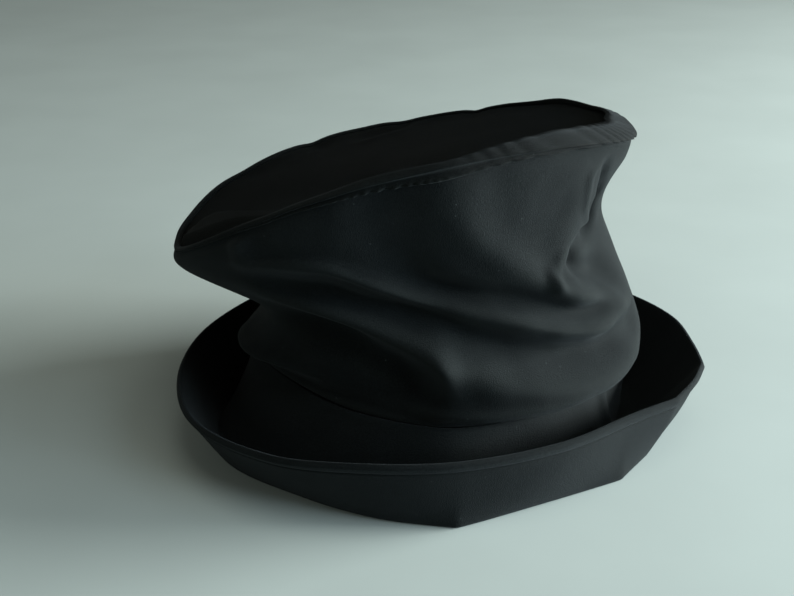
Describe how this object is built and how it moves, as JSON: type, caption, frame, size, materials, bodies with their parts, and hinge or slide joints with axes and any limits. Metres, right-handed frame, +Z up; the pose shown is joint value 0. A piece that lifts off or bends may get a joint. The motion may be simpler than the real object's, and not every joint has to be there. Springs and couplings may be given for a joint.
{
  "type": "wide-brim hat",
  "caption": "Soft dark cotton hat with a slouched, folded crown, a round sunk tip and a wide two-layer brim turned up all round.",
  "frame": {"origin": "middle of the hat's footprint, on the surface it rests on", "axes": "+Z up out of the crown, -Y towards the side the picture shows, -X towards the side the crown slouches to"},
  "size_m": [0.2682, 0.2564, 0.166],
  "materials": {
    "crown_cloth": "peached cotton, soft sheen",
    "brim_cloth": "peached cotton, soft sheen"
  },
  "bodies": {
    "root": {"crown_side": "crown_cloth", "crown_tip": "crown_cloth", "tip_welt": "crown_cloth", "brim_top": "brim_cloth", "brim_under": "brim_cloth"}
  },
  "joints": []
}
